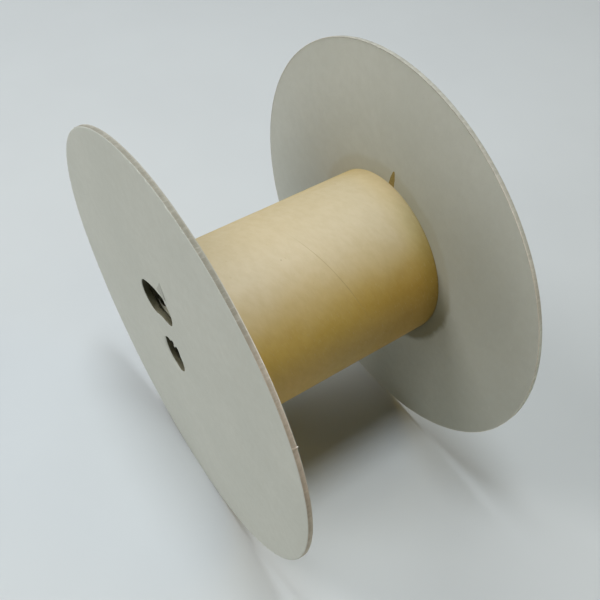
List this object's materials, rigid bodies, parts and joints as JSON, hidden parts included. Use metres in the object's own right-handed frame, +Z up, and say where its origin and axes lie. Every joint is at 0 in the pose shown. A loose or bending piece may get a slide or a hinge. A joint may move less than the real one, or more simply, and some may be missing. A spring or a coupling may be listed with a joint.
{
  "type": "cable reel",
  "caption": "Empty board cable reel: a wound paper tube glued between round greyboard flanges, each with an arbor hole and a curved drive slot.",
  "frame": {"origin": "on the floor under the middle of the reel", "axes": "+Y along the reel's axis from the front flange to the back flange, +Z up, lying on the rims of both flanges"},
  "size_m": [0.2, 0.115, 0.2],
  "materials": {
    "greyboard": "matt",
    "kraft_tube": "satin"
  },
  "bodies": {
    "root": {"front_flange": "greyboard", "back_flange": "greyboard", "core_tube": "kraft_tube"}
  },
  "joints": []
}
